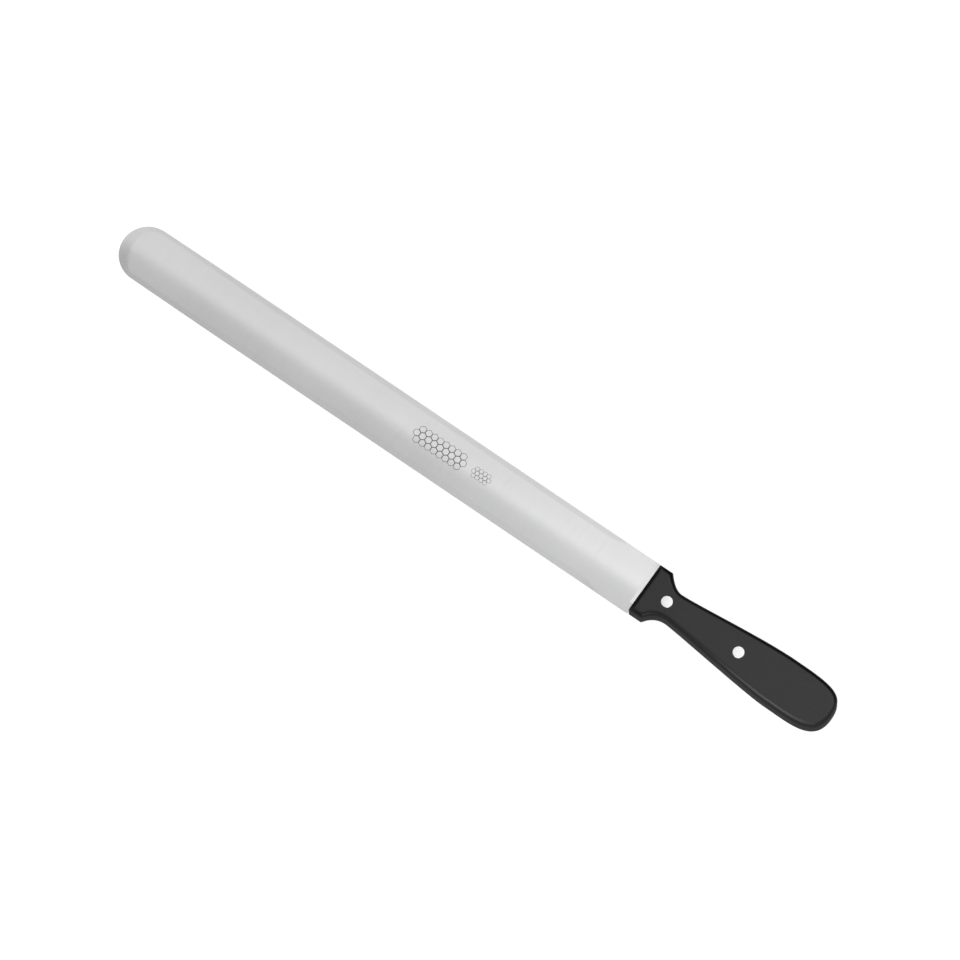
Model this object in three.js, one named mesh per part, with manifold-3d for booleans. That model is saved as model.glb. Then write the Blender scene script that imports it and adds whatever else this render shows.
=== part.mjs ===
// Uncapping knife: a long double-edged blade whose tang is hidden between two handle scales.
// Two compression rivets clamp the scales on the tang, and each rivet is a pin in a sleeve.
//
// Millimetres, +Z up. +X runs from the blade's tip to the handle's butt and +Y across the blade.
// Inside the knife's group, x = 0 is the handle's front, y = 0 the middle of the blade, and z = 0
// the face that the handle rests on. The group puts the middle of the whole length at x = 0.

import * as THREE from 'three';
import { mergeVertices } from 'three/addons/utils/BufferGeometryUtils.js';
import Module from 'manifold-3d';

const wasm = await Module();
wasm.setup();

// Blade
const bladeLength = 360;
const bladeWidth = 34;
const bladeThickness = 2;
const tipRadius = 16.7;
const tipTaperLength = 50; // the blade narrows to the tip's diameter over this length
const landWidth = 12; // left flat along the middle of each face
const flankDrop = 0.75; // each flank falls this far between the land and the edge
const edgeGrindWidth = 8.4; // of the grind that would reach full thickness on a flat blade
const edgeThickness = 0.3;
const heelLength = 5; // not ground, just ahead of the handle
const shoulderGap = 0.1; // between the blade's shoulders and the handle's front

// Tang
const tangLength = 100;
const tangWidth = 12;
const tangRootWidth = 22;
const tangRootLength = 6;
const tangTaperEnd = 18;

// Handle
const handleThickness = 15;
const blockHalfWidth = 15.95;
const edgeRound = 3;
const buttEnd = { x: 129.2, y: -1.3 };

// Each long side of the handle runs along the front block, in to the neck, out to the fullest
// part of the grip and round the butt. The last four values say how far each curve follows its
// end's direction: away from the neck, up to the fullest part, past it and up to the butt.
const upperSide = {
  outward: 1, blockEnd: 8.8, sweepPull: 15, neckX: 20, neckY: 8.45, fullX: 93.5, fullY: 14,
  leaveNeck: 10.5, reachFull: 23, leaveFull: 28, reachButt: 14,
};
const lowerSide = {
  outward: -1, blockEnd: 8.8, sweepPull: 13.2, neckX: 20.5, neckY: -9, fullX: 93.5, fullY: -16.6,
  leaveNeck: 6, reachFull: 13, leaveFull: 17, reachButt: 18,
};

// Rivets
const rivetPlaces = { front: [15.6, -0.2], rear: [65.5, -1.3] };
const headRadius = 3.5;
const headHeight = 1.5;
const pinRadius = 1.75;
const pinEnd = 4; // height of the pin's lower end
const sleeveRadius = 2.5;
const sleeveBoreRadius = 1.8;
const sleeveEnd = 12; // height of the sleeve's upper end

// Fits
const rivetClearance = 0.05; // round each rivet, in radius
const pocketClearance = 0.15; // round the tang, between it and the wall of its pocket

// Facets
const curveSegments = 16; // along each curve of an outline
const roundSegments = 4; // round the handle's edges
const rivetSegments = 32;

const midHeight = handleThickness / 2;
const overrun = 20; // how far a cutting solid passes the piece that it cuts

const steel = new THREE.MeshStandardMaterial({ color: 0xd2d3d5, roughness: 0.32, metalness: 1 });
const plastic = new THREE.MeshStandardMaterial({ color: 0x2e2e30, roughness: 0.45, metalness: 0 });
const bright = new THREE.MeshStandardMaterial({ color: 0xf0f0f0, roughness: 0.15, metalness: 1 });

function toSolid(geometry) {
  geometry.deleteAttribute('normal');
  geometry.deleteAttribute('uv');
  const welded = mergeVertices(geometry);
  const vertProperties = new Float32Array(welded.attributes.position.array);
  const triVerts = new Uint32Array(welded.index.array);
  return new wasm.Manifold(new wasm.Mesh({ numProp: 3, vertProperties, triVerts }));
}

function toGeometry(solid) {
  const { vertProperties, triVerts } = solid.getMesh();
  const geometry = new THREE.BufferGeometry();
  geometry.setAttribute('position', new THREE.BufferAttribute(vertProperties, 3));
  geometry.setIndex(new THREE.BufferAttribute(triVerts, 1));
  geometry.computeVertexNormals();
  return geometry;
}

function boxSolid(lowX, highX, lowY, highY, lowZ, highZ) {
  const box = new THREE.BoxGeometry(highX - lowX, highY - lowY, highZ - lowZ);
  box.translate((lowX + highX) / 2, (lowY + highY) / 2, (lowZ + highZ) / 2);
  return toSolid(box);
}

function cylinderSolid(radius, [x, y], lowZ, highZ) {
  const cylinder = new THREE.CylinderGeometry(radius, radius, highZ - lowZ, rivetSegments);
  cylinder.rotateX(Math.PI / 2);
  cylinder.translate(x, y, (lowZ + highZ) / 2);
  return toSolid(cylinder);
}

// A plate with the given outline, lying between two heights. Both faces are bevelled: the face
// starts inset by bevelWidth and the full outline is reached bevelDrop below it.
function plateSolid(outline, lowZ, highZ, bevelWidth = 0, bevelDrop = 0, bevelSegments = 1) {
  const plate = new THREE.ExtrudeGeometry(outline, {
    depth: highZ - lowZ - 2 * bevelDrop,
    curveSegments,
    bevelEnabled: bevelWidth > 0,
    bevelSize: bevelWidth,
    bevelOffset: -bevelWidth,
    bevelThickness: bevelDrop,
    bevelSegments,
  });
  plate.translate(0, 0, lowZ + bevelDrop);
  return toSolid(plate);
}

// The blade's outline, carried on past the heel so that its rear end can be cut square.
function bladeOutline() {
  const tipCentre = tipRadius - bladeLength;
  const half = bladeWidth / 2;
  const outline = new THREE.Shape();
  outline.moveTo(overrun, half);
  outline.lineTo(tipCentre + tipTaperLength, half);
  outline.lineTo(tipCentre, tipRadius);
  outline.absarc(tipCentre, 0, tipRadius, Math.PI / 2, 1.5 * Math.PI);
  outline.lineTo(tipCentre + tipTaperLength, -half);
  outline.lineTo(overrun, -half);
  outline.closePath();
  return outline;
}

// The tang's outline grown by a clearance: a broad root, a taper, a parallel length, a round end.
function tangOutline(grow) {
  const half = tangWidth / 2 + grow;
  const rootHalf = tangRootWidth / 2 + grow;
  const endCentre = tangLength - tangWidth / 2;
  const outline = new THREE.Shape();
  outline.moveTo(-heelLength / 2, -rootHalf);
  outline.lineTo(tangRootLength, -rootHalf);
  outline.lineTo(tangTaperEnd, -half);
  outline.absarc(endCentre, 0, half, -Math.PI / 2, Math.PI / 2);
  outline.lineTo(tangTaperEnd, half);
  outline.lineTo(tangRootLength, rootHalf);
  outline.lineTo(-heelLength / 2, rootHalf);
  outline.closePath();
  return outline;
}

function addSideToButt(outline, side) {
  outline.lineTo(side.blockEnd, side.outward * blockHalfWidth);
  outline.quadraticCurveTo(side.sweepPull, side.neckY, side.neckX, side.neckY);
  outline.bezierCurveTo(
    side.neckX + side.leaveNeck, side.neckY,
    side.fullX - side.reachFull, side.fullY,
    side.fullX, side.fullY,
  );
  outline.bezierCurveTo(
    side.fullX + side.leaveFull, side.fullY,
    buttEnd.x, buttEnd.y + side.outward * side.reachButt,
    buttEnd.x, buttEnd.y,
  );
}

function addSideFromButt(outline, side) {
  outline.bezierCurveTo(
    buttEnd.x, buttEnd.y + side.outward * side.reachButt,
    side.fullX + side.leaveFull, side.fullY,
    side.fullX, side.fullY,
  );
  outline.bezierCurveTo(
    side.fullX - side.reachFull, side.fullY,
    side.neckX + side.leaveNeck, side.neckY,
    side.neckX, side.neckY,
  );
  outline.quadraticCurveTo(side.sweepPull, side.neckY, side.blockEnd, side.outward * blockHalfWidth);
  outline.lineTo(0, side.outward * blockHalfWidth);
}

function handleOutline() {
  const outline = new THREE.Shape();
  outline.moveTo(0, -blockHalfWidth);
  addSideToButt(outline, lowerSide);
  addSideFromButt(outline, upperSide);
  outline.closePath();
  return outline;
}

// A through hole for each rivet, wide enough for the sleeve.
function rivetHoles() {
  const radius = sleeveRadius + rivetClearance;
  return Object.values(rivetPlaces)
    .map((place) => cylinderSolid(radius, place, -overrun, handleThickness + overrun))
    .reduce((all, hole) => all.add(hole));
}

// The seats of the rivet heads in both faces of the handle.
function headSeats() {
  const radius = headRadius + rivetClearance;
  return Object.values(rivetPlaces)
    .flatMap((place) => [
      cylinderSolid(radius, place, -overrun, headHeight),
      cylinderSolid(radius, place, handleThickness - headHeight, handleThickness + overrun),
    ])
    .reduce((all, seat) => all.add(seat));
}

function bladeGeometry() {
  const low = midHeight - bladeThickness / 2;
  const high = midHeight + bladeThickness / 2;
  const half = bladeWidth / 2;
  const flankWidth = (bladeWidth - landWidth) / 2;
  const edgeDrop = (bladeThickness - edgeThickness) / 2;
  const flanks = plateSolid(bladeOutline(), low, high, flankWidth, flankDrop);
  const edges = plateSolid(bladeOutline(), low, high, edgeGrindWidth, edgeDrop);
  const behindHeel = boxSolid(-heelLength, 2 * overrun, -bladeWidth, bladeWidth, 0, handleThickness);
  const heel = boxSolid(-heelLength, -shoulderGap, -half, half, low, high);
  const tang = plateSolid(tangOutline(0), low, high);
  const steelPiece = flanks.intersect(edges).subtract(behindHeel).add(heel).add(tang);
  return toGeometry(steelPiece.subtract(rivetHoles()));
}

// Half of the handle between two heights, hollowed for the tang and drilled for the rivets.
function scaleGeometry(lowZ, highZ) {
  const handle = plateSolid(handleOutline(), 0, handleThickness, edgeRound, edgeRound, roundSegments);
  const half = boxSolid(-overrun, buttEnd.x + overrun, -bladeWidth, bladeWidth, lowZ, highZ);
  const pocketLow = midHeight - bladeThickness / 2;
  const pocket = plateSolid(tangOutline(pocketClearance), pocketLow, pocketLow + bladeThickness);
  const scale = handle.intersect(half).subtract(pocket).subtract(rivetHoles()).subtract(headSeats());
  return toGeometry(scale);
}

// A solid of revolution about the rivet's axis, from [radius, height] points that start and end
// on the axis.
function turnedGeometry(profile) {
  const points = profile.map(([radius, height]) => new THREE.Vector2(radius, height));
  const turned = new THREE.LatheGeometry(points, rivetSegments);
  turned.rotateX(Math.PI / 2);
  return turned;
}

function rivetPinGeometry() {
  const headLow = handleThickness - headHeight;
  return turnedGeometry([
    [0, pinEnd],
    [pinRadius, pinEnd],
    [pinRadius, headLow],
    [headRadius, headLow],
    [headRadius, handleThickness],
    [0, handleThickness],
  ]);
}

function rivetSleeveGeometry() {
  return turnedGeometry([
    [0, 0],
    [headRadius, 0],
    [headRadius, headHeight],
    [sleeveRadius, headHeight],
    [sleeveRadius, sleeveEnd],
    [sleeveBoreRadius, sleeveEnd],
    [sleeveBoreRadius, headHeight],
    [0, headHeight],
  ]);
}

function addPiece(group, name, geometry, material, [x, y] = [0, 0]) {
  const mesh = new THREE.Mesh(geometry, material);
  mesh.name = name;
  mesh.position.set(x, y, 0);
  group.add(mesh);
}

const knife = new THREE.Group();
knife.position.x = (bladeLength - buttEnd.x) / 2;

addPiece(knife, 'blade', bladeGeometry(), steel);
addPiece(knife, 'lower_scale', scaleGeometry(0, midHeight), plastic);
addPiece(knife, 'upper_scale', scaleGeometry(midHeight, handleThickness), plastic);
for (const [place, spot] of Object.entries(rivetPlaces)) {
  addPiece(knife, `${place}_rivet_pin`, rivetPinGeometry(), bright, spot);
  addPiece(knife, `${place}_rivet_sleeve`, rivetSleeveGeometry(), bright, spot);
}

export default knife;
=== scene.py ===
"""Looks of the uncapping knife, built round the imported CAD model.

Lengths are in metres in the CAD frame: +X from the tip to the butt, +Y across the blade, +Z up.
Sizes written with MM are the knife's own, in millimetres, and places come from the frame's boxes.
The camera looks down from the near side, which is the -Y side.
"""

import math

import bmesh
import bpy
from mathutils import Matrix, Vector


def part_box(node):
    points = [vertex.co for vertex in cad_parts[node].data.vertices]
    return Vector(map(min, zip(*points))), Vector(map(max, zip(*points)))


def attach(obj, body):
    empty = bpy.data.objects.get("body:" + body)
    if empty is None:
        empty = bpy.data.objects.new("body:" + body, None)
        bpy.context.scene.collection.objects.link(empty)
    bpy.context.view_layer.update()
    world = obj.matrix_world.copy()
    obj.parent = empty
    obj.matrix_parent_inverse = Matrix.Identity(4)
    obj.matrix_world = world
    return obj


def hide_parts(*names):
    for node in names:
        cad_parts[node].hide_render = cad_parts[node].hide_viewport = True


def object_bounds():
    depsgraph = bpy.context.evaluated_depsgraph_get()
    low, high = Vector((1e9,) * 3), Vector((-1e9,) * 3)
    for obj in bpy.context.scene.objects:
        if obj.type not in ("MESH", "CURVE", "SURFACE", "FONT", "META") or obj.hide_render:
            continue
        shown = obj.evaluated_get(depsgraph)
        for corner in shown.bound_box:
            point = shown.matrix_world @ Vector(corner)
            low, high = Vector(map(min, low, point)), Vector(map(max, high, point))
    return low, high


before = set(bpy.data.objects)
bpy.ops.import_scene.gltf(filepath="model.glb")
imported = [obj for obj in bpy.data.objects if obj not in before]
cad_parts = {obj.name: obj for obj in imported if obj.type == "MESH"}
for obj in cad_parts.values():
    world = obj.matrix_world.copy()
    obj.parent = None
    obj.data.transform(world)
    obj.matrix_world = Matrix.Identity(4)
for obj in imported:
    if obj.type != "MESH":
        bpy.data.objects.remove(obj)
cad_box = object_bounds()

MM = 0.001

# The frame's places
blade_low, blade_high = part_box("blade")
scale_low, scale_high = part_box("upper_scale")
HANDLE_FRONT = scale_low.x
BUTT_X = scale_high.x
TIP_X = blade_low.x
HALF_WIDTH = blade_high.y
TOP = scale_high.z
MID = scale_low.z
TANG_END = blade_high.x
HALF_THICKNESS = blade_high.z - MID
BUTT_LENGTH = (BUTT_X - HANDLE_FRONT) / MM

# Blade
TIP_RADIUS = 16.7 * MM
TIP_TAPER = 50 * MM
TIP_THINNING = 0.2  # share of the thickness that is lost at the tip
TIP_THINNING_LENGTH = 90 * MM
FLANK_SLOPE = 0.055
RIDGE_SOFTNESS = 5 * MM  # how wide the ridge between the two flanks is rounded
EDGE_HALF_THICKNESS = 0.15 * MM
BEVEL_SLOPE = 0.1
HEEL_GAP = 0.1 * MM
HEEL_LENGTH = 5 * MM
BEVEL_RUN_OUT = 34 * MM  # the edge bevel narrows over this length ahead of the handle
BEVEL_RISE = 0.45 * MM

# Tang
TANG_HALF_WIDTH = 6 * MM
TANG_ROOT_HALF_WIDTH = 11 * MM
TANG_ROOT_LENGTH = 6 * MM
TANG_TAPER_END = 18 * MM
TANG_THINNER = 0.01 * MM  # each face stands back by this, so that it doesn't meet the pocket
POCKET_CLEARANCE = 0.15 * MM

# Handle. The sides are in mm from the handle's front: the block's end, the pull of the sweep
# behind it, the neck, the fullest part, and how far each curve follows its end's direction.
BLOCK_HALF_WIDTH = 15.95 * MM
EDGE_ROUND = 3 * MM
CORNER_RADIUS = 0.8 * MM
SEAM = 0.12 * MM  # chamfer where the scales meet
FLAT_MARGIN = 0.5 * MM  # a ring just inside the rounded edge keeps its shading off the flat
REAR_OF_BLOCK = 30  # the outline isn't cut to the block's width behind this
BUTT_Y = -1.3
UPPER_SIDE = dict(
    block_end=8.8, pull=15, neck=(20, 8.45), full=(93.5, 14),
    leave_neck=10.5, reach_full=23, leave_full=28, reach_butt=14,
)
LOWER_SIDE = dict(
    block_end=8.8, pull=13.2, neck=(20.5, -9), full=(93.5, -16.6),
    leave_neck=6, reach_full=13, leave_full=17, reach_butt=-18,
)

# Rivets
HEAD_RADIUS = 3.5 * MM
HEAD_HEIGHT = 1.5 * MM
HEAD_CHAMFER = 0.2 * MM
HEAD_CROWN = 0.03 * MM
CROWN_RADIUS = 3.29 * MM
PIN_RADIUS = 1.75 * MM
PIN_END = 4 * MM
SLEEVE_RADIUS = 2.5 * MM
SLEEVE_BORE_RADIUS = 1.8 * MM
SLEEVE_END = 12 * MM
RIVET_CLEARANCE = 0.05 * MM
SEAT_CHAMFER = 0.2 * MM
RIVETS = ("front", "rear")

# Studio
STUDIO_GREY = 0.45
UNDERFOOT_GREY = 0.19
NEAR_FLAG_GREY = 0.16
FLOOR_RADIUS = 5
FLOOR_GLOW = 0.92
COVE = 2
WALL_HEIGHT = 5
SOFTBOX_HEIGHT = 2
SOFTBOX_X = (-1.05, 1.6)
SOFTBOX_Y = (-1.0, 1.75)

# Camera
AZIMUTH = 34.9
ELEVATION = 75
DISTANCE = 9
LENS = 596
AIM = Vector((2.6 * MM, -0.65 * MM, 0))


# Mesh helpers


def new_object(name, body, material):
    """An object in the scene from a bmesh, which is used up."""
    mesh = bpy.data.meshes.new(name)
    body.to_mesh(mesh)
    body.free()
    mesh.materials.append(material)
    obj = bpy.data.objects.new(name, mesh)
    bpy.context.scene.collection.objects.link(obj)
    return obj


def new_piece(name, body, material):
    """An object from a bmesh that encloses a body, with its faces turned outwards."""
    bmesh.ops.recalc_face_normals(body, faces=body.faces)
    return new_object(name, body, material)


def shade(obj, angle=30):
    """Shades smoothly, but keeps edges that turn by more than the angle sharp."""
    obj.data.polygons.foreach_set("use_smooth", [True] * len(obj.data.polygons))
    obj.data.set_sharp_from_angle(angle=math.radians(angle))


def loft(body, rings, closed=True):
    """Joins rings of equally many points with quads and returns the rows of vertices."""
    rows = [[body.verts.new(point) for point in ring] for ring in rings]
    count = len(rings[0])
    last = count if closed else count - 1
    for low, high in zip(rows, rows[1:]):
        for i in range(last):
            j = (i + 1) % count
            body.faces.new((low[i], low[j], high[j], high[i]))
    return rows


def capped_loft(rings):
    """A closed body from rings, with its first and last ring filled flat."""
    body = bmesh.new()
    rows = loft(body, rings)
    body.faces.new(rows[0])
    body.faces.new(rows[-1])
    bmesh.ops.remove_doubles(body, verts=body.verts, dist=1e-7)
    bmesh.ops.dissolve_degenerate(body, edges=body.edges, dist=1e-7)
    return body


def turned(profile, centre, segments=96):
    """A closed body of revolution about a vertical axis, from (radius, height) points that
    start and end on the axis."""
    body = bmesh.new()
    turns = [2 * math.pi * i / segments for i in range(segments)]
    rings = [
        [(centre[0] + r * math.cos(a), centre[1] + r * math.sin(a), z) for a in turns]
        for r, z in profile
    ]
    loft(body, rings)
    bmesh.ops.remove_doubles(body, verts=body.verts, dist=1e-7)
    return body


def combine(obj, other, operation):
    """Cuts or joins another closed object into obj, then removes that other object."""
    modifier = obj.modifiers.new("combine", "BOOLEAN")
    modifier.operation = operation
    modifier.solver = "EXACT"
    modifier.object = other
    depsgraph = bpy.context.evaluated_depsgraph_get()
    result = bpy.data.meshes.new_from_object(obj.evaluated_get(depsgraph))
    obj.modifiers.clear()
    obj.data = result
    bpy.data.objects.remove(other)


# Outlines


def bezier(points, steps):
    """Points along a Bezier curve of any degree, without its first point."""
    found = []
    for i in range(1, steps + 1):
        t = i / steps
        level = [Vector(p) for p in points]
        while len(level) > 1:
            level = [a.lerp(b, t) for a, b in zip(level, level[1:])]
        found.append(level[0])
    return found


def side_curve(side, steps=60):
    """One side of the handle behind its block, from the block's end to the butt, in mm."""
    block_y = math.copysign(BLOCK_HALF_WIDTH / MM, side["neck"][1])
    neck_x, neck_y = side["neck"]
    full_x, full_y = side["full"]
    start = Vector((side["block_end"], block_y))
    butt = (BUTT_LENGTH, BUTT_Y)
    sweep = [start, (side["pull"], neck_y), side["neck"]]
    grip = [
        side["neck"],
        (neck_x + side["leave_neck"], neck_y),
        (full_x - side["reach_full"], full_y),
        side["full"],
    ]
    end = [
        side["full"],
        (full_x + side["leave_full"], full_y),
        (BUTT_LENGTH, BUTT_Y + side["reach_butt"]),
        butt,
    ]
    return [start, *bezier(sweep, steps), *bezier(grip, steps), *bezier(end, steps)]


def rear_curve():
    """The handle's outline behind its block, from the lower side round the butt to the upper."""
    return side_curve(LOWER_SIDE) + side_curve(UPPER_SIDE)[-2::-1]


def resample(points, count, skip_start, skip_end):
    """count points evenly along a polyline, leaving out a length at each end."""
    lengths = [0]
    for a, b in zip(points, points[1:]):
        lengths.append(lengths[-1] + (b - a).length)
    span = lengths[-1] - skip_start - skip_end
    found = []
    k = 0
    for i in range(count):
        want = skip_start + span * i / (count - 1)
        while k < len(points) - 2 and lengths[k + 1] < want:
            k += 1
        share = (want - lengths[k]) / (lengths[k + 1] - lengths[k])
        found.append(points[k].lerp(points[k + 1], share))
    return found


def clip_to_block(points, limit):
    """Cuts off the ends of the rear curve that lie outside |y| = limit."""
    inside = [i for i, p in enumerate(points) if abs(p.y) < limit or p.x > REAR_OF_BLOCK]
    first, last = inside[0], inside[-1]

    def crossing(a, b, y):
        return a.lerp(b, (y - a.y) / (b.y - a.y))

    start = crossing(points[first - 1], points[first], -limit) if first else points[0]
    end = crossing(points[last], points[last + 1], limit) if last + 1 < len(points) else points[-1]
    return [start, *points[first : last + 1], end]


def inset_curve(points, inset):
    """The rear curve moved towards the inside of the handle."""
    moved = []
    for i, point in enumerate(points):
        ahead = points[min(i + 1, len(points) - 1)] - points[max(i - 1, 0)]
        normal = Vector((-ahead.y, ahead.x)).normalized()
        moved.append(point + normal * inset)
    return moved


def corner_arc(corner, towards, away, radius, steps=6):
    """Points that round a corner between the directions towards and away from it, and the length
    that the rounding takes off each side. With no radius the points all lie on the corner."""
    turn = towards.angle(away)
    tangent = radius * math.tan(turn / 2)
    start = corner - towards * tangent
    end = corner + away * tangent
    found = []
    for i in range(steps + 1):
        t = i / steps
        found.append(start.lerp(corner, t).lerp(corner.lerp(end, t), t))
    return found, tangent


def handle_ring(inset, height, rear_count=300, front_count=14):
    """The handle's outline moved inwards, as points at one height in metres."""
    inset_mm = inset / MM
    limit = BLOCK_HALF_WIDTH / MM - inset_mm
    rear = clip_to_block(inset_curve(rear_curve(), inset_mm), limit)
    radius = max(CORNER_RADIUS / MM - inset_mm, 0)
    front_low, front_high = Vector((inset_mm, -limit)), Vector((inset_mm, limit))
    back, ahead, down = Vector((1, 0)), Vector((-1, 0)), Vector((0, -1))
    leave = (rear[3] - rear[0]).normalized()
    arrive = (rear[-1] - rear[-4]).normalized()
    low_front, _ = corner_arc(front_low, down, back, radius)
    low_rear, low_skip = corner_arc(rear[0], back, leave, radius)
    high_rear, high_skip = corner_arc(rear[-1], arrive, ahead, radius)
    high_front, _ = corner_arc(front_high, ahead, down, radius)
    sweep = resample(rear, rear_count, low_skip, high_skip)
    front = [high_front[-1].lerp(low_front[0], i / front_count) for i in range(1, front_count)]
    outline = low_front + low_rear + sweep[1:-1] + high_rear + high_front + front
    return [(HANDLE_FRONT + p.x * MM, p.y * MM, height) for p in outline]


def tang_ring(grow, front, height, steps=32):
    """The tang's outline grown by a clearance, starting at x = front, at one height."""
    half = TANG_HALF_WIDTH + grow
    root = TANG_ROOT_HALF_WIDTH + grow
    centre = TANG_END - TANG_HALF_WIDTH
    turns = [math.pi * (i / steps - 0.5) for i in range(steps + 1)]
    lower = [
        (front, -root),
        (HANDLE_FRONT + TANG_ROOT_LENGTH, -root),
        (HANDLE_FRONT + TANG_TAPER_END, -half),
    ]
    end = [(centre + half * math.cos(a), half * math.sin(a)) for a in turns]
    upper = [(x, -y) for x, y in reversed(lower)]
    return [(x, y, height) for x, y in lower + end + upper]


# Pieces


def smooth_step(value, low, high):
    share = min(max((value - low) / (high - low), 0), 1)
    return share * share * (3 - 2 * share)


def blade_half_thickness(x, y, from_edge):
    """Half the blade's thickness at a place that lies from_edge inside its outline."""
    crown = math.hypot(y, RIDGE_SOFTNESS) - RIDGE_SOFTNESS
    thinning = TIP_THINNING * (1 - smooth_step(x - TIP_X, 0, TIP_THINNING_LENGTH))
    flank = (HALF_THICKNESS - FLANK_SLOPE * crown) * (1 - thinning)
    run_out = 1 - smooth_step(HANDLE_FRONT - x, HEEL_LENGTH, BEVEL_RUN_OUT)
    slope = BEVEL_SLOPE * (1 - thinning / 2)
    return min(flank, EDGE_HALF_THICKNESS + slope * from_edge + BEVEL_RISE * run_out)


def blade_columns(fine_count=25, coarse_count=90, tip_count=96):
    """Pairs of an edge point and the spine point it faces, from the upper heel round the tip to
    the lower heel. They lie closer where the bevel runs out."""
    heel = HANDLE_FRONT - HEEL_GAP
    tip_centre = TIP_X + TIP_RADIUS
    fine_end = heel - BEVEL_RUN_OUT * 1.2
    stations = [heel + (fine_end - heel) * i / (fine_count - 1) for i in range(fine_count)]
    stations += [fine_end + (tip_centre - fine_end) * i / coarse_count for i in range(1, coarse_count)]
    upper = []
    for x in stations:
        widening = min((x - tip_centre) / TIP_TAPER, 1)
        half = TIP_RADIUS + (HALF_WIDTH - TIP_RADIUS) * widening
        upper.append((Vector((x, half)), Vector((x, 0))))
    turns = [math.pi * (0.5 + i / tip_count) for i in range(tip_count + 1)]
    centre = Vector((tip_centre, 0))
    tip = [(centre + TIP_RADIUS * Vector((math.cos(a), math.sin(a))), centre) for a in turns]
    lower = [(Vector((edge.x, -edge.y)), spine) for edge, spine in reversed(upper)]
    return upper + tip + lower


def blade_body():
    """The ground blade: two faces that meet along a thin edge, closed across the heel. shares
    says how far from the edge to the spine each row of points lies."""
    shares = [0, 0.04, 0.09, 0.13, 0.16, 0.18, 0.2, 0.25, 0.32, 0.4, 0.5, 0.6, 0.7, 0.8, 0.9, 1]
    columns = blade_columns()
    rings = []
    for side, row_shares in ((1, reversed(shares)), (-1, shares)):
        for share in row_shares:
            ring = []
            for edge, spine in columns:
                spot = edge.lerp(spine, share)
                from_edge = share * (spine - edge).length
                half = blade_half_thickness(spot.x, spot.y, from_edge)
                ring.append((spot.x, spot.y, MID + side * half))
            rings.append(ring)
    body = bmesh.new()
    loft(body, rings, closed=False)
    bmesh.ops.remove_doubles(body, verts=body.verts, dist=1e-7)
    open_edges = [e for e in body.edges if e.is_boundary]
    bmesh.ops.contextual_create(body, geom=open_edges)
    return body


def make_blade(material):
    blade = new_piece("blade_fine", blade_body(), material)
    thin = HALF_THICKNESS - TANG_THINNER
    inside = HANDLE_FRONT - HEEL_LENGTH / 2
    tang = capped_loft([tang_ring(0, inside, MID - thin), tang_ring(0, inside, MID + thin)])
    combine(blade, new_piece("tang", tang, material), "UNION")
    for name in RIVETS:
        hole = turned(rod_profile(SLEEVE_RADIUS + RIVET_CLEARANCE, 0, TOP), rivet_centre(name))
        combine(blade, new_piece("hole", hole, material), "DIFFERENCE")
    shade(blade, 25)
    lay_grain(blade)
    return blade


def lay_grain(obj):
    """A UV map whose first axis runs along the blade, which sets the direction of its grind."""
    layer = obj.data.uv_layers.new(name="along")
    for loop in obj.data.loops:
        layer.uv[loop.index].vector = obj.data.vertices[loop.vertex_index].co.xy


def rivet_centre(name):
    low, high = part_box(f"{name}_rivet_pin")
    return ((low + high) / 2).xy


def rod_profile(radius, low, high):
    return [(0, low), (radius, low), (radius, high), (0, high)]


def seat_profile(outer, inner, away):
    """A rivet's stepped hole from the middle of the handle out past one of its faces. away is
    +1 towards the top and -1 towards the underside."""
    face = TOP if away > 0 else 0
    floor = face - away * HEAD_HEIGHT
    past = face + away * SEAT_CHAMFER
    return [
        (0, MID - away * MM),
        (inner, MID - away * MM),
        (inner, floor),
        (outer, floor),
        (outer, face - away * SEAT_CHAMFER),
        (outer + 2 * SEAT_CHAMFER, past),
        (0, past),
    ]


def scale_profile(away, steps=9):
    """(inset, height) of each ring of a scale's outside, from the parting face to its own."""
    face = TOP if away > 0 else 0
    round_centre = face - away * EDGE_ROUND
    rings = [(SEAM, MID), (0, MID + away * SEAM)]
    for i in range(steps + 1):
        a = math.pi / 2 * i / steps
        inset = EDGE_ROUND * (1 - math.cos(a))
        rings.append((inset, round_centre + away * EDGE_ROUND * math.sin(a)))
    rings.append((EDGE_ROUND + FLAT_MARGIN, face))
    return rings


def make_scale(name, away, material):
    """A handle scale with its rounded edge, tang pocket and rivet seats."""
    rings = [handle_ring(inset, height) for inset, height in scale_profile(away)]
    scale = new_piece(name, capped_loft(rings), material)
    floor = MID + away * HALF_THICKNESS
    front = HANDLE_FRONT - MM
    ends = sorted((MID - away * MM, floor))
    pocket = capped_loft([tang_ring(POCKET_CLEARANCE, front, z) for z in ends])
    combine(scale, new_piece("pocket", pocket, material), "DIFFERENCE")
    for rivet in RIVETS:
        outer, inner = HEAD_RADIUS + RIVET_CLEARANCE, SLEEVE_RADIUS + RIVET_CLEARANCE
        seat = turned(seat_profile(outer, inner, away), rivet_centre(rivet))
        combine(scale, new_piece("seat", seat, material), "DIFFERENCE")
    shade(scale)
    return scale


def head_profile(face, away, steps=6):
    """A rivet head's outside from its middle to its underside, with a crown and a chamfer."""
    rings = []
    for i in range(steps + 1):
        share = i / steps
        rings.append((CROWN_RADIUS * share, face - away * HEAD_CROWN * share**2))
    rings.append((HEAD_RADIUS, face - away * HEAD_CHAMFER))
    rings.append((HEAD_RADIUS, face - away * HEAD_HEIGHT))
    return rings


def make_rivet_pin(name, material):
    shank = [(PIN_RADIUS, TOP - HEAD_HEIGHT), (PIN_RADIUS, PIN_END), (0, PIN_END)]
    body = turned(head_profile(TOP, 1) + shank, rivet_centre(name))
    pin = new_piece(f"{name}_rivet_pin_fine", body, material)
    shade(pin)
    return pin


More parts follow.
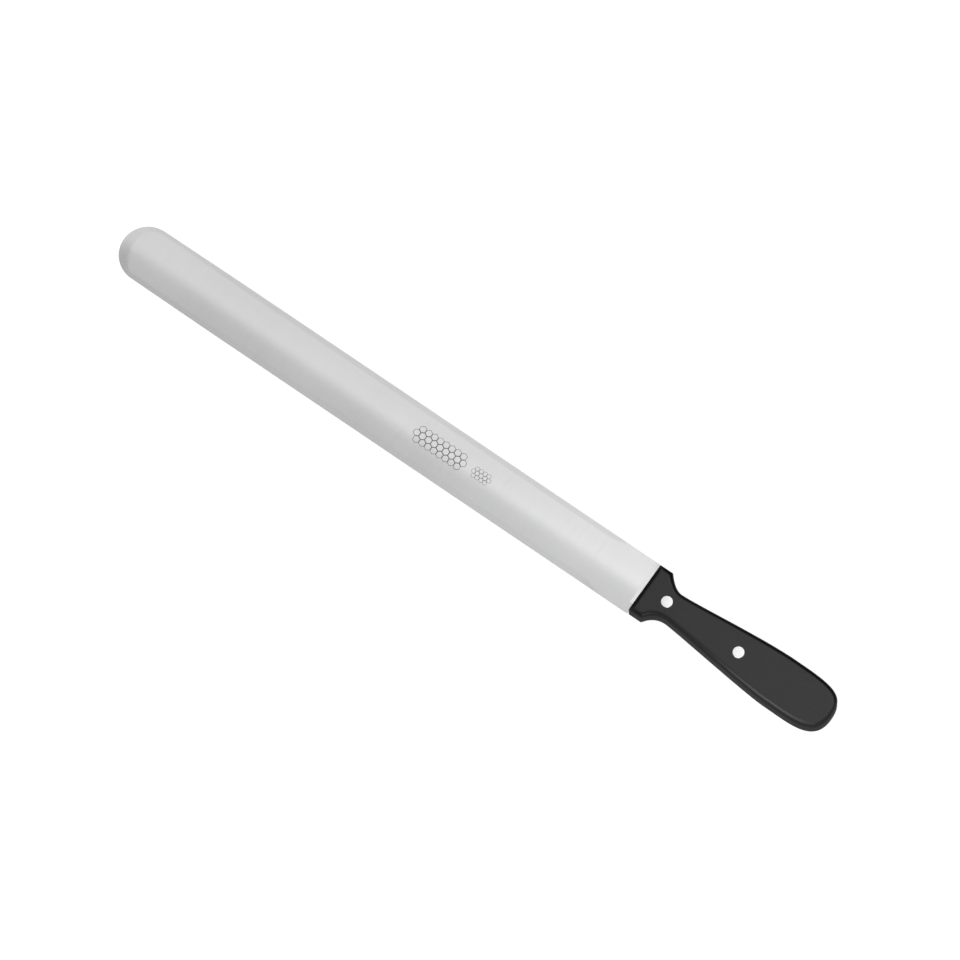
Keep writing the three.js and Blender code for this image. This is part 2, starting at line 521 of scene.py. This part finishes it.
def make_rivet_sleeve(name, material):
    tube = [
        (SLEEVE_RADIUS, HEAD_HEIGHT),
        (SLEEVE_RADIUS, SLEEVE_END),
        (SLEEVE_BORE_RADIUS, SLEEVE_END),
        (SLEEVE_BORE_RADIUS, HEAD_HEIGHT),
        (0, HEAD_HEIGHT),
    ]
    body = turned(head_profile(0, -1) + tube, rivet_centre(name))
    sleeve = new_piece(f"{name}_rivet_sleeve_fine", body, material)
    shade(sleeve)
    return sleeve


# Materials


class Shader:
    """A material's node tree, with short calls for the nodes used here."""

    def __init__(self, name):
        self.material = bpy.data.materials.new(name)
        self.material.use_nodes = True
        self.tree = self.material.node_tree
        self.surface = self.tree.nodes["Principled BSDF"]
        self.place = self.add("ShaderNodeTexCoord").outputs["Object"]

    def add(self, kind, **settings):
        node = self.tree.nodes.new(kind)
        for key, value in settings.items():
            setattr(node, key, value)
        return node

    def feed(self, socket, value):
        if isinstance(value, bpy.types.NodeSocket):
            self.tree.links.new(value, socket)
        else:
            socket.default_value = value

    def math(self, operation, *values):
        node = self.add("ShaderNodeMath", operation=operation)
        for socket, value in zip(node.inputs, values):
            self.feed(socket, value)
        return node.outputs[0]

    def vector(self, operation, *values, output=0):
        node = self.add("ShaderNodeVectorMath", operation=operation)
        for socket, value in zip(node.inputs, values):
            self.feed(socket, value)
        return node.outputs[output]

    def noise(self, stretch, scale, detail=4, roughness=0.5):
        """A noise value from 0 to 1. stretch scales the place along each axis."""
        node = self.add("ShaderNodeTexNoise")
        self.feed(node.inputs["Vector"], self.vector("MULTIPLY", self.place, stretch))
        self.feed(node.inputs["Scale"], scale)
        self.feed(node.inputs["Detail"], detail)
        self.feed(node.inputs["Roughness"], roughness)
        return node.outputs["Fac"]

    def remap(self, value, from_low, from_high, to_low, to_high, smooth=False):
        node = self.add("ShaderNodeMapRange", clamp=True)
        node.interpolation_type = "SMOOTHSTEP" if smooth else "LINEAR"
        for socket, v in zip(node.inputs, (value, from_low, from_high, to_low, to_high)):
            self.feed(socket, v)
        return node.outputs[0]

    def mix_colour(self, share, first, second):
        node = self.add("ShaderNodeMix", data_type="RGBA")
        self.feed(node.inputs[0], share)
        self.feed(node.inputs[6], first)
        self.feed(node.inputs[7], second)
        return node.outputs[2]

    def mix_value(self, share, first, second):
        node = self.add("ShaderNodeMix")
        self.feed(node.inputs[0], share)
        self.feed(node.inputs[2], first)
        self.feed(node.inputs[3], second)
        return node.outputs[0]

    def bump(self, height, strength, distance):
        node = self.add("ShaderNodeBump")
        self.feed(node.inputs["Strength"], strength)
        self.feed(node.inputs["Distance"], distance)
        self.feed(node.inputs["Height"], height)
        self.feed(self.surface.inputs["Normal"], node.outputs[0])

    def set(self, **values):
        for name, value in values.items():
            self.feed(self.surface.inputs[name.replace("_", " ").title()], value)


def grey(value):
    return (value, value, value, 1)


def way_to_cell(shader, spot, period):
    """The way to a spot from the middle of its honeycomb cell. The middles lie on two
    rectangular grids, half a period apart."""
    half = period / 2
    ways = []
    for shifted in (spot, shader.vector("SUBTRACT", spot, half)):
        way = shader.vector("SUBTRACT", shader.vector("MODULO", shifted, period), half)
        ways.append(shader.vector("MULTIPLY", way, (1, 1, 0)))
    first, second = ways
    lengths = [shader.vector("LENGTH", way, output=1) for way in ways]
    choice = shader.add("ShaderNodeMix", data_type="VECTOR")
    shader.feed(choice.inputs[0], shader.math("LESS_THAN", *lengths))
    shader.feed(choice.inputs[4], second)
    shader.feed(choice.inputs[5], first)
    return choice.outputs[1]


def honeycomb_mark(shader, centre, cell, rows, half_columns, line):
    """1 on the lines of a small block of honeycomb cells, 0 elsewhere. It is worked out in cell
    widths, far enough along the grid for every place to be positive."""
    row_pitch = math.sqrt(3) / 2
    period = Vector((1, 2 * row_pitch, 1))
    origin = period * 100
    shift = origin - Vector((centre[0] / cell, centre[1] / cell, 0))
    spot = shader.vector("MULTIPLY_ADD", shader.place, (1 / cell, 1 / cell, 0), shift)
    way = way_to_cell(shader, spot, period)
    size = shader.vector("ABSOLUTE", way)
    slanted = shader.vector("DOT_PRODUCT", size, (0.5, row_pitch, 0), output=1)
    across = shader.vector("DOT_PRODUCT", size, (1, 0, 0), output=1)
    to_side = shader.math("SUBTRACT", 0.5, shader.math("MAXIMUM", slanted, across))
    on_line = shader.math("LESS_THAN", to_side, line / cell)
    middle = shader.vector("SUBTRACT", spot, way)
    from_centre = shader.vector("ABSOLUTE", shader.vector("SUBTRACT", middle, origin))
    column = shader.vector("DOT_PRODUCT", from_centre, (1, 0, 0), output=1)
    row = shader.vector("DOT_PRODUCT", from_centre, (0, 1, 0), output=1)
    in_columns = shader.math("LESS_THAN", column, half_columns + 0.25)
    in_rows = shader.math("LESS_THAN", row, rows / 2 * row_pitch)
    return shader.math("MULTIPLY", on_line, shader.math("MULTIPLY", in_columns, in_rows))


def blade_steel():
    """Satin steel, ground across the blade, with a faint etched mark."""
    shader = Shader("satin_steel")
    across = shader.noise((1, 0.02, 0.02), 2600, detail=6, roughness=0.65)
    coarse = shader.noise((1, 0.05, 0.05), 420, detail=3)
    cloud = shader.noise((1, 1, 1), 22, detail=3)
    mark = etched_mark(shader)
    tone = shader.remap(across, 0.3, 0.7, 0.675, 0.705)
    tone = shader.math("MULTIPLY", tone, shader.remap(cloud, 0.3, 0.7, 0.985, 1.015))
    tone = shader.math("MULTIPLY", tone, shader.mix_value(mark, 1.0, 0.38))
    colour = shader.add("ShaderNodeCombineColor")
    for i, tint in enumerate((1, 1, 1.005)):
        shader.feed(colour.inputs[i], shader.math("MULTIPLY", tone, tint))
    rough = shader.remap(coarse, 0.3, 0.7, 0.21, 0.235)
    rough = shader.math("ADD", rough, shader.remap(cloud, 0.35, 0.7, -0.01, 0.015))
    shader.set(
        base_color=colour.outputs[0],
        metallic=1.0,
        roughness=shader.mix_value(mark, rough, 0.5),
        anisotropic=0.6,
    )
    tangent = shader.add("ShaderNodeTangent", direction_type="UV_MAP", uv_map="along")
    shader.feed(shader.surface.inputs["Tangent"], tangent.outputs[0])
    shader.bump(across, 0.05, 0.02 * MM)
    return shader.material


def etched_mark(shader):
    """A block of honeycomb cells and a small fainter one on the upper face, where such knives
    are etched."""
    block = honeycomb_mark(
        shader,
        centre=(HANDLE_FRONT - 142 * MM, 1.6 * MM),
        cell=4 * MM,
        rows=3,
        half_columns=4,
        line=0.3 * MM,
    )
    small_block = honeycomb_mark(
        shader,
        centre=(HANDLE_FRONT - 113.5 * MM, 1.4 * MM),
        cell=2.6 * MM,
        rows=3,
        half_columns=2,
        line=0.22 * MM,
    )
    axes = shader.add("ShaderNodeSeparateXYZ")
    shader.feed(axes.inputs[0], shader.place)
    upper = shader.math("GREATER_THAN", axes.outputs[2], MID)
    faint = shader.math("MULTIPLY", small_block, 0.85)
    return shader.math("MULTIPLY", upper, shader.math("MAXIMUM", block, faint))


def rounded_edge(shader):
    """1 where the surface leans halfway between lying flat and standing upright, 0 well away."""
    normal = shader.add("ShaderNodeSeparateXYZ")
    shader.feed(normal.inputs[0], shader.add("ShaderNodeNewGeometry").outputs["True Normal"])
    flatness = shader.math("ABSOLUTE", normal.outputs[2])
    from_halfway = shader.math("ABSOLUTE", shader.math("SUBTRACT", flatness, 0.7))
    return shader.remap(from_halfway, 0.05, 0.28, 1, 0, smooth=True)


def handle_plastic():
    """Black moulded plastic: a fine grain, a little duller in patches, polished at its edges."""
    shader = Shader("black_plastic")
    grain = shader.noise((1, 1, 1), 3200, detail=3, roughness=0.6)
    cloud = shader.noise((1, 1, 1), 45, detail=4)
    scuffs = shader.noise((0.35, 1.6, 1), 260, detail=6, roughness=0.7)
    wear = shader.math("MULTIPLY", rounded_edge(shader), shader.remap(cloud, 0.42, 0.62, 0.2, 1))
    base = shader.mix_colour(shader.remap(cloud, 0.3, 0.7, 0, 1), grey(0.0075), grey(0.0095))
    colour = shader.mix_colour(shader.math("MULTIPLY", wear, 0.35), base, grey(0.018))
    rough = shader.remap(grain, 0.3, 0.7, 0.26, 0.32)
    rough = shader.math("ADD", rough, shader.remap(scuffs, 0.45, 0.75, 0, 0.06))
    rough = shader.math("SUBTRACT", rough, shader.math("MULTIPLY", wear, 0.06))
    shader.set(base_color=colour, roughness=rough)
    shader.surface.inputs["IOR"].default_value = 1.48
    shader.bump(shader.math("ADD", grain, shader.math("MULTIPLY", cloud, 0.5)), 0.1, 0.05 * MM)
    return shader.material


def distance_from_rivet(shader, name):
    centre = rivet_centre(name)
    way = shader.vector("MULTIPLY_ADD", shader.place, (1, 1, 0), (-centre.x, -centre.y, 0))
    return shader.vector("LENGTH", way, output=1)


def rivet_metal():
    """Bright rivet metal, faced off in fine circles round each rivet's axis."""
    shader = Shader("rivet_metal")
    radius = shader.math("MINIMUM", *(distance_from_rivet(shader, name) for name in RIVETS))
    rings = shader.add("ShaderNodeTexNoise", noise_dimensions="1D")
    shader.feed(rings.inputs["W"], radius)
    shader.feed(rings.inputs["Scale"], 9000)
    cloud = shader.noise((1, 1, 1), 500, detail=3)
    tone = shader.remap(cloud, 0.3, 0.7, 0.71, 0.76)
    colour = shader.add("ShaderNodeCombineColor")
    for socket in colour.inputs:
        shader.feed(socket, tone)
    rough = shader.remap(rings.outputs["Fac"], 0.3, 0.7, 0.14, 0.24)
    shader.set(base_color=colour.outputs[0], metallic=1.0, roughness=rough)
    shader.bump(rings.outputs["Fac"], 0.15, 0.02 * MM)
    return shader.material


# Stage


def stage_piece(name, body, material):
    """An object that belongs to the studio and not to the knife."""
    obj = new_object(name, body, material)
    return obj


def floor_material():
    """A pale light table: it glows, so that shadows on it stay soft and faint. From below it
    lets the view through to the underside."""
    shader = Shader("floor")
    shader.set(base_color=grey(0.3), roughness=0.9)
    shader.surface.inputs["Specular IOR Level"].default_value = 0
    shader.surface.inputs["Emission Color"].default_value = grey(1)
    shader.surface.inputs["Emission Strength"].default_value = FLOOR_GLOW
    clear = shader.add("ShaderNodeBsdfTransparent")
    choice = shader.add("ShaderNodeMixShader")
    shader.feed(choice.inputs[0], shader.add("ShaderNodeNewGeometry").outputs["Backfacing"])
    shader.feed(choice.inputs[1], shader.surface.outputs[0])
    shader.feed(choice.inputs[2], clear.outputs[0])
    shader.feed(shader.tree.nodes["Material Output"].inputs[0], choice.outputs[0])
    return shader.material


def floor_rings(cove_steps=12, segments=96):
    """Rings of a round floor with a coved wall, from the middle outwards."""
    flat_radius = FLOOR_RADIUS - COVE
    profile = [(0.02, 0), (1, 0), (flat_radius, 0)]
    for i in range(1, cove_steps + 1):
        a = math.pi / 2 * i / cove_steps
        profile.append((flat_radius + COVE * math.sin(a), COVE * (1 - math.cos(a))))
    profile.append((FLOOR_RADIUS, WALL_HEIGHT))
    turns = [2 * math.pi * i / segments for i in range(segments)]
    return [[(r * math.cos(a), r * math.sin(a), z) for a in turns] for r, z in profile]


def make_floor(blade):
    """A pale floor, tilted so that the knife rests on its tip and on the front edge of its
    handle, as it does by its own weight."""
    body = bmesh.new()
    rows = loft(body, floor_rings())
    body.faces.new(rows[0])
    bmesh.ops.recalc_face_normals(body, faces=body.faces)
    body.faces.ensure_lookup_table()
    if body.faces[0].normal.z < 0:
        bmesh.ops.reverse_faces(body, faces=body.faces)
    floor = stage_piece("floor", body, floor_material())
    shade(floor)
    pivot = HANDLE_FRONT + EDGE_ROUND
    ahead = [v.co for v in blade.data.vertices if v.co.x < 0]
    slope = min(p.z / (pivot - p.x) for p in ahead)
    floor.location = (0, 0, slope * pivot)
    floor.rotation_euler = (0, math.atan(slope), 0)
    floor.visible_glossy = False
    floor.visible_diffuse = False


def make_card(name, corners, material):
    """A flat card that lights or darkens the knife's reflections. The camera doesn't see it."""
    body = bmesh.new()
    body.faces.new([body.verts.new(corner) for corner in corners])
    stage_piece(name, body, material).visible_camera = False


def card_beside(name, y, reach, heights, material):
    """An upright card along the knife, reaching from and to a distance behind the handle's front."""
    start, end = (HANDLE_FRONT + distance for distance in reach)
    low, high = heights
    make_card(name, [(start, y, low), (start, y, high), (end, y, high), (end, y, low)], material)


def card_across(name, x, reach, heights, material):
    """An upright card square to the knife, between two places across it."""
    start, end = reach
    low, high = heights
    make_card(name, [(x, start, low), (x, start, high), (x, end, high), (x, end, low)], material)


def glow(name, strength):
    """A glowing material. strength is one number, or makes the brightness of each place from the
    shader and the place's axes."""
    shader = Shader(name)
    emission = shader.add("ShaderNodeEmission")
    if callable(strength):
        axes = shader.add("ShaderNodeSeparateXYZ")
        shader.feed(axes.inputs[0], shader.place)
        strength = strength(shader, *axes.outputs)
    shader.feed(emission.inputs["Strength"], strength)
    shader.feed(shader.tree.nodes["Material Output"].inputs[0], emission.outputs[0])
    return shader.material


def black_cloth():
    shader = Shader("black_cloth")
    shader.set(base_color=grey(0), roughness=1)
    shader.surface.inputs["Specular IOR Level"].default_value = 0
    return shader.material


def softbox_strength(shader, x, y, z):
    """Each part of the blade mirrors its own part of the softbox: the flanks one band along it
    each, the bevels the strips beside these bands, and the tip its left end."""
    flanks = shader.remap(y, 0.16, 0.44, 0.64, 1.1, smooth=True)
    near_bevel = shader.remap(y, -0.05, 0.12, 1.26, 1)
    far_bevel = shader.remap(y, 0.55, 0.9, 1, 0.78)
    tip = shader.math(
        "MULTIPLY",
        shader.remap(x, -1.05, -0.72, 1.1, 0),
        shader.remap(y, 0.3, 0.5, 0.2, 1, smooth=True),
    )
    front_third = shader.remap(x, -0.55, -0.42, 0.83, 0.91)
    rear_half = shader.remap(x, -0.4, -0.26, 1, 0.9)
    handle = shader.remap(x, HANDLE_FRONT - 0.33, HANDLE_FRONT - 0.28, 1, 1.7, smooth=True)
    strength = flanks
    brighter_tip = shader.math("ADD", tip, 1)
    for factor in (near_bevel, far_bevel, brighter_tip, front_third, rear_half, handle):
        strength = shader.math("MULTIPLY", strength, factor)
    return strength


def side_strength(shader, x, y, z):
    """Strongest beside the grip, with soft ends."""
    rise = shader.remap(x, HANDLE_FRONT + 0.025, HANDLE_FRONT + 0.055, 0, 2.6, smooth=True)
    fall = shader.remap(x, HANDLE_FRONT + 0.095, HANDLE_FRONT + 0.14, 1, 0.45)
    return shader.math("MULTIPLY", rise, fall)


def make_softbox():
    left, right = SOFTBOX_X
    near, far = SOFTBOX_Y
    outline = [(left, near), (left, far), (right, far), (right, near)]
    corners = [(x, y, SOFTBOX_HEIGHT) for x, y in outline]
    make_card("overhead", corners, glow("overhead_glow", softbox_strength))


def make_cards():
    """A card that lights the handle's near edge, a screen that hides it from the blade, and flags
    that draw the dark lines along the handle's other edges."""
    beside = glow("side_glow", side_strength)
    screen = glow("screen_glow", STUDIO_GREY)
    dim = glow("near_shade", NEAR_FLAG_GREY)
    black = black_cloth()
    card_beside("side_card", -0.08, (0.022, 0.202), (0.05, 0.5), beside)
    card_across("screen", HANDLE_FRONT + 0.03, (-0.08, -0.01), (0.03, 0.5), screen)
    card_beside("far_flag", 0.022, (-0.001, 0.147), (0.0125, 0.03), black)
    card_beside("near_flag", -0.03, (-0.005, 0.013), (0.0125, 0.03), dim)
    card_across("front_flag", -1.6, (0.05, 1.0), (0, 2.6), black)


def make_world():
    """A grey studio, darker underfoot."""
    world = bpy.data.worlds.new("studio")
    bpy.context.scene.world = world
    world.use_nodes = True
    tree = world.node_tree
    direction = tree.nodes.new("ShaderNodeTexCoord")
    axes = tree.nodes.new("ShaderNodeSeparateXYZ")
    brightness = tree.nodes.new("ShaderNodeMapRange")
    brightness.interpolation_type = "SMOOTHSTEP"
    for socket, value in zip(brightness.inputs[1:5], (-0.95, -0.35, UNDERFOOT_GREY, STUDIO_GREY)):
        socket.default_value = value
    background = tree.nodes["Background"]
    background.inputs["Color"].default_value = grey(1)
    tree.links.new(direction.outputs["Generated"], axes.inputs[0])
    tree.links.new(axes.outputs[2], brightness.inputs[0])
    tree.links.new(brightness.outputs[0], background.inputs["Strength"])


def make_camera():
    azimuth = math.radians(AZIMUTH)
    elevation = math.radians(ELEVATION)
    level = math.cos(elevation)
    back = Vector((math.sin(azimuth) * level, -math.cos(azimuth) * level, math.sin(elevation)))
    middle = (cad_box[0] + cad_box[1]) / 2
    data = bpy.data.cameras.new("camera")
    data.lens = LENS
    data.sensor_width = 36
    data.clip_end = 50
    camera = bpy.data.objects.new("camera", data)
    camera.location = middle + AIM + back * DISTANCE
    camera.rotation_mode = "QUATERNION"
    camera.rotation_quaternion = (-back).to_track_quat("-Z", "Y")
    bpy.context.scene.collection.objects.link(camera)
    bpy.context.scene.camera = camera


def place(piece, node):
    """The piece stands for a CAD node, whose own mesh is hidden, and rides with the knife."""
    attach(piece, "root")
    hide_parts(node)


steel = blade_steel()
plastic = handle_plastic()
bright = rivet_metal()

blade = make_blade(steel)
place(blade, "blade")
for name, away in (("upper_scale", 1), ("lower_scale", -1)):
    place(make_scale(f"{name}_fine", away, plastic), name)
for name in RIVETS:
    place(make_rivet_pin(name, bright), f"{name}_rivet_pin")
    place(make_rivet_sleeve(name, bright), f"{name}_rivet_sleeve")

make_floor(blade)
make_softbox()
make_cards()
make_world()
make_camera()
bpy.context.scene.view_settings.view_transform = "Standard"
